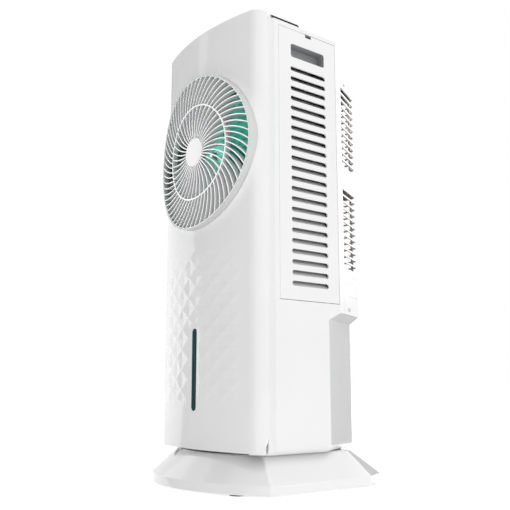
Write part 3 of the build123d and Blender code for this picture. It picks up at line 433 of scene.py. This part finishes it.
# ---------------------------------------------------------------- faceted front
def relief_fade(x, z, window):
    """1 over the field, falling to 0 at its border and round the level window."""
    sides = 1 - smoothstep(abs(x), RELIEF_HALF_W - FADE_SIDE, RELIEF_HALF_W - FADE_EDGE)
    ends = smoothstep(z, RELIEF_LOW + FADE_EDGE, RELIEF_LOW + FADE_LOW)
    ends *= 1 - smoothstep(z, RELIEF_HIGH - FADE_HIGH, RELIEF_HIGH - FADE_EDGE)
    low, high = window
    dx = max(x - high.x, low.x - x, 0.0)
    dz = max(z - high.z, low.z - z, 0.0)
    rim = smoothstep(math.hypot(dx, dz), WINDOW_CLEAR, WINDOW_CLEAR + FADE_WINDOW)
    return sides * ends * rim


def lozenge_offsets(x, z):
    """How far the point lies from the middle lines of its lozenge, 0 to 0.5 both ways."""
    u = x / LOZENGE_W + z / LOZENGE_H
    v = x / LOZENGE_W - z / LOZENGE_H
    return abs(u - round(u)), abs(v - round(v))


def relief_height(x, z):
    """Dished lozenges: 0 in each middle, 1 on the ridges between them."""
    return 2 * max(lozenge_offsets(x, z))


def front_surface(x, front_y, lift):
    """Point of the bowed front at x, moved out along its normal by lift."""
    angle = math.asin(x / FRONT_BOW_R)
    reach = FRONT_BOW_R + lift
    return reach * math.sin(angle), front_y + FRONT_BOW_R - reach * math.cos(angle)


def faceted_front(finish):
    """The lozenge relief of the front, a closed skin that lies in the shell's wall."""
    window = low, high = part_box("level_window")
    front_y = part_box("front_shell")[0].y
    step_x = LOZENGE_W / LOZENGE_CELLS
    step_z = LOZENGE_H / LOZENGE_CELLS
    columns = round(2 * RELIEF_HALF_W / step_x)
    rows = round((RELIEF_HIGH - RELIEF_LOW) / step_z)
    bm = bmesh.new()
    outer, inner = {}, {}
    for i in range(columns + 1):
        for k in range(rows + 1):
            x = -RELIEF_HALF_W + i * step_x
            z = RELIEF_LOW + k * step_z
            fade = relief_fade(x, z, window)
            lift = fade * (RELIEF_DEPTH * relief_height(x, z) + RELIEF_PROUD) - RELIEF_SUNK
            px, py = front_surface(x, front_y, lift)
            outer[i, k] = bm.verts.new((px, py, z))
            px, py = front_surface(x, front_y, -RELIEF_SKIN)
            inner[i, k] = bm.verts.new((px, py, z))
    middles = {}
    for i in range(columns):
        for k in range(rows):
            x = -RELIEF_HALF_W + (i + 0.5) * step_x
            z = RELIEF_LOW + (k + 0.5) * step_z
            beside = not low.x - WINDOW_CLEAR < x < high.x + WINDOW_CLEAR
            beyond = not low.z - WINDOW_CLEAR < z < high.z + WINDOW_CLEAR
            if beside or beyond:
                middles[i, k] = (x, z)
    for (i, k), middle in middles.items():
        along, across = lozenge_offsets(*middle)
        a, b, c, d = (i, k), (i + 1, k), (i + 1, k + 1), (i, k + 1)
        split = ((a, b, d), (b, c, d)) if along > across else ((a, b, c), (a, c, d))
        for tri in split:
            bm.faces.new([outer[p] for p in tri])
            bm.faces.new([inner[p] for p in reversed(tri)])
        borders = {(i - 1, k): (d, a), (i + 1, k): (b, c), (i, k - 1): (a, b), (i, k + 1): (c, d)}
        for beside, (p, q) in borders.items():
            if beside not in middles:
                bm.faces.new((outer[p], inner[p], inner[q], outer[q]))
    loose = [v for v in bm.verts if not v.link_faces]
    bmesh.ops.delete(bm, geom=loose, context="VERTS")
    crease(bm, 1.6)
    piece("front_facets", bm, finish, "cooler")


# ---------------------------------------------------------------- pads and nets
def fluted_pad(name, node, body, finish, stack_axis, depth_axis):
    """Corrugated cellulose: fluted sheets stacked side by side, each leaning against the next."""
    low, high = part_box(node)
    size = high - low
    count = int(size[stack_axis] / SHEET_PITCH)
    pitch = size[stack_axis] / count
    swing = (pitch - SHEET_THICK) / 2
    rows = int(size.z / FLUTE_LENGTH * FLUTE_ROWS)
    last = FLUTE_LAYERS - 1
    bm = bmesh.new()
    for sheet in range(count):
        middle = low[stack_axis] + (sheet + 0.5) * pitch
        side = 1 if sheet % 2 else -1
        start = 0 if side > 0 else math.pi
        grid = {}
        for layer in range(FLUTE_LAYERS):
            share = layer / last
            lean = 0.25 * side * (share * 2 - 1)
            for row in range(rows + 1):
                z = low.z + size.z * row / rows
                phase = 2 * math.pi * (z / FLUTE_LENGTH + lean) + start
                for skin, offset in ((0, -SHEET_THICK / 2), (1, SHEET_THICK / 2)):
                    point = [0.0, 0.0, z]
                    point[stack_axis] = (middle + swing * math.sin(phase) * FLUTE_GAP
                                         + offset * SHEET_GAP)
                    point[depth_axis] = low[depth_axis] + share * size[depth_axis]
                    grid[layer, row, skin] = bm.verts.new(point)
        for row in range(rows):
            for skin in (0, 1):
                for layer in range(last):
                    bm.faces.new((grid[layer, row, skin], grid[layer + 1, row, skin],
                                  grid[layer + 1, row + 1, skin], grid[layer, row + 1, skin]))
            for layer in (0, last):
                bm.faces.new((grid[layer, row, 0], grid[layer, row, 1],
                              grid[layer, row + 1, 1], grid[layer, row + 1, 0]))
        for row in (0, rows):
            for layer in range(last):
                bm.faces.new((grid[layer, row, 0], grid[layer + 1, row, 0],
                              grid[layer + 1, row, 1], grid[layer, row, 1]))
    crease(bm, 60)
    pad = piece(name, bm, finish, body)
    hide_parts(node)


def dust_net(side, finish):
    """Thin moulded frame with crossing nylon strands."""
    node = "dust_net_" + side
    low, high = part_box(node)
    bm = bmesh.new()
    for y in (low.y, high.y - NET_BAR):
        add_bar(bm, (low.x, y, low.z), (high.x, y + NET_BAR, high.z))
    for i in range(NET_RAILS):
        z = low.z + (high.z - low.z - NET_BAR) * i / (NET_RAILS - 1)
        add_bar(bm, (low.x, low.y + NET_BAR, z), (high.x, high.y - NET_BAR, z + NET_BAR))
    x = low.x + (high.x - low.x) * STRAND_SEAT
    width = high.y - low.y - 2 * NET_BAR
    uprights = int(width / STRAND_PITCH)
    for i in range(uprights):
        y = low.y + NET_BAR + (i + 0.5) * width / uprights
        add_bar(bm, (x, y, low.z + NET_BAR / 2), (x + STRAND, y + STRAND, high.z - NET_BAR / 2))
    height = high.z - low.z - 2 * NET_BAR
    rungs = int(height / STRAND_PITCH)
    for i in range(rungs):
        z = low.z + NET_BAR + (i + 0.5) * height / rungs
        add_bar(bm, (x + STRAND, low.y + NET_BAR / 2, z),
                (x + 2 * STRAND, high.y - NET_BAR / 2, z + STRAND))
    net = piece("net_" + side, bm, finish, "panel_" + side)
    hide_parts(node)


# ---------------------------------------------------------------- recess, deck and casing details
def rounded_rect(y0, y1, z0, z1, radius, steps=6):
    """Points of an upright rounded rectangle in the YZ plane, anticlockwise seen from +X."""
    points = []
    for corner, (cy, cz) in enumerate(((y1 - radius, z1 - radius), (y0 + radius, z1 - radius),
                                       (y0 + radius, z0 + radius), (y1 - radius, z0 + radius))):
        for step in range(steps + 1):
            angle = math.radians(90 * corner + 90 * step / steps)
            points.append((cy + radius * math.cos(angle), cz + radius * math.sin(angle)))
    return points


def grip_shade_liner(side, finish):
    """Thin grey cup over the walls of the finger recess of a side panel: painted shade of the deep
    recess.
    """
    sign = 1 if side == "right" else -1
    opening = next(hole for hole in frame["record"]["physics"]["openings"]
                   if hole["name"] == "grip_recess_" + side)
    (_, y0, z0), (_, y1, z1) = opening["box_m"]
    face_x = max(abs(corner.x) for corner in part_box("side_panel_" + side))
    mouth, floor_x = face_x - GRIP_MOUTH, face_x - GRIP_FLOOR
    bm = bmesh.new()
    rings = []
    for x, inset in ((mouth, 0.0), (floor_x, 0.0), (floor_x + GRIP_SHADE_LINER, GRIP_SHADE_LINER),
                     (mouth, GRIP_SHADE_LINER)):
        grow = GRIP_GROW - inset
        points = rounded_rect(y0 - grow, y1 + grow, z0 - grow, z1 + grow, GRIP_CORNER - inset)
        rings.append([bm.verts.new((sign * x, y, z)) for y, z in points])
    count = len(rings[0])
    for ring, after in ((0, 1), (2, 3), (3, 0)):
        for i in range(count):
            j = (i + 1) % count
            bm.faces.new((rings[ring][i], rings[ring][j], rings[after][j], rings[after][i]))
    bm.faces.new(rings[1])
    bm.faces.new(rings[2])
    crease(bm, 40)
    piece("grip_shade_liner_" + side, bm, finish, "panel_" + side)


def add_arc(bm, centre, radius, start, end, low, high, steps=24):
    """A closed flat stroke along an arc, between two heights."""
    rows = []
    for step in range(steps + 1):
        angle = math.radians(start + (end - start) * step / steps)
        row = []
        for reach, z in ((-0.5, low), (0.5, low), (0.5, high), (-0.5, high)):
            r = radius + reach * STROKE
            row.append(bm.verts.new((centre[0] + r * math.cos(angle),
                                     centre[1] + r * math.sin(angle), z)))
        rows.append(row)
    skin_rows(bm, rows)


# Plain symbols on the keys: arcs as (x, y, radius, start, end) and bars as (x0, y0, x1, y1), in mm.
KEY_SYMBOLS = (
    ((((0, 0, 3.2, 125, 415),), ((-0.35, 0.6, 0.35, 4.2),))),
    ((((0, 0, 1.0, 0, 360),), ((-0.35, 1.6, 0.35, 4), (-0.35, -4, 0.35, -1.6),
                               (1.6, -0.35, 4, 0.35), (-4, -0.35, -1.6, 0.35)))),
    ((((-1.7, -0.6, 1.7, 0, 180), (1.7, 0.6, 1.7, 180, 360)), ())),
    ((((0, -1.2, 2.2, 160, 380),), ((-0.35, 1.0, 0.35, 4.0),))),
    ((((0, 0, 3.4, 0, 360),), ((-0.35, 0, 0.35, 2.4), (0, -0.35, 1.9, 0.35)))),
    ((((0, 0, 3.2, 60, 300),), ())),
)


def key_symbol(index, finish):
    """A printed symbol on one key."""
    low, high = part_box(f"button_{index + 1}")
    x, y = (low.x + high.x) / 2, (low.y + high.y) / 2
    base, top = high.z - PRINT_SUNK, high.z + STROKE_RISE
    arcs, bars = KEY_SYMBOLS[index]
    bm = bmesh.new()
    for dx, dy, radius, start, end in arcs:
        add_arc(bm, (x + dx * MM, y + dy * MM), radius * MM, start, end, base, top)
    for x0, y0, x1, y1 in bars:
        add_bar(bm, (x + x0 * MM, y + y0 * MM, base), (x + x1 * MM, y + y1 * MM, top))
    piece(f"key_symbol_{index + 1}", bm, finish, f"key_{index + 1}")


def display_marks(finish):
    """A row of rising level bars and three lamps that show through the display window."""
    low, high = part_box("display_window")
    middle = (low.y + high.y) / 2
    base, top = high.z - PRINT_SUNK, high.z + MARK_RISE
    bm = bmesh.new()
    for i in range(8):
        x = low.x + (14 + 6 * i) * MM
        reach = (1.5 + 0.5 * i) * MM
        add_bar(bm, (x, middle - reach, base), (x + 3.2 * MM, middle + reach, top))
    for i in range(3):
        add_arc(bm, (high.x - (12 + 9 * i) * MM, middle), 1.2 * MM, 0, 360, base, top)
    piece("display_marks", bm, finish, "cooler")


def deck_shade_strip(name, sign, finish):
    """Black strip wrapped over the rounded edge of the top: the deck's black carried round, and
    painted shade of the gap line along that edge.
    """
    low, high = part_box("control_deck")
    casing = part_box("rear_casing")[1]
    centre_x, centre_z = casing.x - TOP_EDGE_R, casing.z - TOP_EDGE_R
    steps = 8
    bm = bmesh.new()
    rows = []
    for step in range(steps + 1):
        angle = math.radians(DECK_SHADE_SPAN[0] + (DECK_SHADE_SPAN[1] - DECK_SHADE_SPAN[0]) * step / steps)
        row = []
        for reach, ends in ((TOP_EDGE_R - DECK_SHADE_SUNK, (low.y, high.y)),
                            (TOP_EDGE_R + DECK_SHADE_RISE, (high.y, low.y))):
            x = sign * (centre_x + reach * math.cos(angle))
            z = centre_z + reach * math.sin(angle)
            row += [bm.verts.new((x, y, z)) for y in ends]
        rows.append(row)
    skin_rows(bm, rows)
    crease(bm, 40)
    piece(name, bm, finish, "cooler")


def casing_toe(name, sign, finish):
    """The casing's lower front lip, which shows behind the rounded heel of the front shell."""
    low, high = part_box("front_shell")
    centre_x, centre_y = high.x - CORNER_R, high.y - TOE_BACK
    bottom, top = low.z - TOE_SUNK, low.z + TOE_RISE
    steps = 13
    bm = bmesh.new()
    rows = []
    for step in range(steps + 1):
        angle = math.radians(TOE_SPAN * step / steps)
        row = []
        for depth, ends in zip(TOE_DEPTHS, ((bottom, top), (top, bottom))):
            x = sign * (centre_x + (CORNER_R - depth) * math.cos(angle))
            y = centre_y - (CORNER_R - depth) * math.sin(angle)
            row += [bm.verts.new((x, y, z)) for z in ends]
        rows.append(row)
    skin_rows(bm, rows)
    crease(bm, 40)
    piece(name, bm, finish, "cooler")


def build_pieces(finishes):
    """Everything that is added to the frame."""
    casing_toe("casing_toe_right", 1, finishes["white_shell"])
    casing_toe("casing_toe_left", -1, finishes["white_shell"])
    gap_shade_finish = deck_gap_shade()
    deck_shade_strip("deck_edge_right", 1, gap_shade_finish)
    deck_shade_strip("deck_edge_left", -1, gap_shade_finish)
    for side in ("right", "left"):
        grip_shade_liner(side, finishes["grey_plastic"])
    for index in range(6):
        key_symbol(index, finishes["white_shell"])
    display_marks(finishes["fan_teal"])
    faceted_front(finishes["white_shell"])
    for side in ("right", "left"):
        fluted_pad("pad_flutes_" + side, "cooling_pad_" + side, "panel_" + side,
                   finishes["pad_cellulose"], 1, 0)
        dust_net(side, finishes["net_plastic"])
    fluted_pad("pad_flutes_rear", "rear_pad", "cooler", finishes["pad_cellulose"], 0, 1)


# ---------------------------------------------------------------- studio
def stage_floor():
    """White floor, bright enough by itself to melt into the background."""
    bpy.ops.mesh.primitive_circle_add(vertices=128, radius=30, fill_type="NGON")
    floor = bpy.context.object
    floor.name = "studio_floor"
    mat, nodes, links, bsdf = shader("studio_floor")
    tone = noise(nodes, links, place(nodes, links), 0.8)
    links.new(ramp(nodes, links, tone, (0.52, 0.52, 0.52), (0.54, 0.54, 0.54)),
              bsdf.inputs["Base Color"])
    bsdf.inputs["Emission Color"].default_value = (1, 1, 1, 1)
    bsdf.inputs["Emission Strength"].default_value = 0.66
    bsdf.inputs["Roughness"].default_value = 0.9
    bsdf.inputs["Specular IOR Level"].default_value = 0.1
    floor.data.materials.append(mat)


def around(left_of_front, distance, height):
    """Point left_of_front degrees to the left of the front, at a distance from the object."""
    angle = math.radians(left_of_front)
    return -math.sin(angle) * distance, -math.cos(angle) * distance, height


def card(name, corners, glow, lights=True, reflects=True):
    """Even bright card out of the camera's sight; it may light, be reflected, or both."""
    mesh = bpy.data.meshes.new(name)
    mesh.from_pydata(corners, [], [tuple(range(len(corners)))])
    obj = bpy.data.objects.new(name, mesh)
    bpy.context.scene.collection.objects.link(obj)
    mat, _, _, bsdf = shader(name)
    bsdf.inputs["Base Color"].default_value = (0, 0, 0, 1)
    bsdf.inputs["Specular IOR Level"].default_value = 0.0
    bsdf.inputs["Emission Color"].default_value = (1, 1, 1, 1)
    bsdf.inputs["Emission Strength"].default_value = glow
    mesh.materials.append(mat)
    obj.visible_camera = False
    obj.visible_diffuse = lights
    obj.visible_shadow = lights
    obj.visible_glossy = reflects


def wall_card(name, left, right, distance, foot, top, glow, **sight):
    """Upright card between two directions, given in degrees to the left of the front."""
    spots = ((left, foot), (right, foot), (right, top), (left, top))
    card(name, [around(turn, distance, height) for turn, height in spots], glow, **sight)


def softbox(name, centre, target, width, height, power):
    """Rectangular lamp that the camera doesn't see."""
    light = bpy.data.lights.new(name, "AREA")
    light.shape = "RECTANGLE"
    light.size = width
    light.size_y = height
    light.energy = power
    lamp = bpy.data.objects.new(name, light)
    bpy.context.scene.collection.objects.link(lamp)
    lamp.location = centre
    lamp.rotation_euler = (Vector(target) - Vector(centre)).to_track_quat("-Z", "Y").to_euler()
    lamp.visible_camera = False


def studio():
    """White surroundings, and cards that shade the front, the rear and the reflections."""
    world = bpy.data.worlds.new("studio")
    bpy.context.scene.world = world
    world.use_nodes = True
    background = world.node_tree.nodes["Background"]
    background.inputs["Color"].default_value = (1, 1, 1, 1)
    background.inputs["Strength"].default_value = 1.0
    stage_floor()
    wall_card("card_shade", 61, -3, 3.4, 0.0, 4.4, 0.14, reflects=False)
    wall_card("card_bright", 93, 58, 3.9, 0.0, 2.8, 1.3)
    card("card_grey", [around(62.3, NEAR, 0), around(-35, NEAR, 0),
                       around(-35, NEAR, 1.5), around(38.5, NEAR, 1.5)],
         GREY_GLOW, lights=False)
    card("card_floor", [around(62.3, NEAR, FLOOR_CARD_Z), (-0.02, -0.2, FLOOR_CARD_Z),
                        (0.16, -0.18, FLOOR_CARD_Z), around(-35, NEAR, FLOOR_CARD_Z)],
         GREY_GLOW, lights=False)
    wall_card("card_upper_left", 100, 50, NEAR, 1.02, 1.7, 0.6, lights=False)
    wall_card("card_rear_shade", 202, 150, 3.2, 0.0, 0.62, REAR_GLOW, reflects=False)
    wall_card("card_rear_low", 200, 162, NEAR_REAR, 0.0, 0.385, REAR_GLOW, lights=False)
    wall_card("card_rear_side", 162, 136, NEAR_REAR, 0.0, 0.6, REAR_GLOW, lights=False)
    card("card_floor_rear", [(0.2, 0.16, FLOOR_CARD_Z), (-0.2, 0.2, FLOOR_CARD_Z),
                             around(200, NEAR_REAR, FLOOR_CARD_Z),
                             around(136, NEAR_REAR, FLOOR_CARD_Z)],
         REAR_GLOW, lights=False)
    wall_card("card_rear_high", 198, 162, 3.3, 0.75, 2.95, 1.9)
    softbox("top_light", (0.6, 0.5, 3.2), (0, 0, 0), 3.0, 3.0, 16)
    softbox("duct_fill", (0, FAN_FRONT_Y, GRILLE_AXIS[2]), (0, 0, GRILLE_AXIS[2]),
            0.07, 0.07, 0.013)
    grille_spot()


def grille_spot():
    """Narrow beam on the grille and the fan behind it."""
    light = bpy.data.lights.new("grille_spot", "SPOT")
    light.energy = 75
    light.shadow_soft_size = 0.02
    light.spot_blend = 0.02
    lamp = bpy.data.objects.new("grille_spot", light)
    bpy.context.scene.collection.objects.link(lamp)
    lamp.location = (-0.28, -2.7, 0.81)
    reach = Vector(GRILLE_AXIS) - lamp.location
    lamp.rotation_euler = reach.to_track_quat("-Z", "Y").to_euler()
    light.spot_size = 2 * math.atan(GRILLE_R / reach.length)


def camera():
    """Low three-quarter view of the front and the right side."""
    cam = bpy.data.cameras.new("camera")
    cam.lens = 51.07
    cam.sensor_width = 36.0
    cam.clip_start = 0.05
    cam.clip_end = 100
    obj = bpy.data.objects.new("camera", cam)
    bpy.context.scene.collection.objects.link(obj)
    obj.location = (1.1897, -0.9180, 0.1829)
    obj.rotation_euler = (math.radians(90 + 10.463), 0, math.radians(52.38))
    bpy.context.scene.camera = obj


camera()
studio()
build_pieces(paint_frame())
bpy.context.scene.view_settings.view_transform = "Standard"
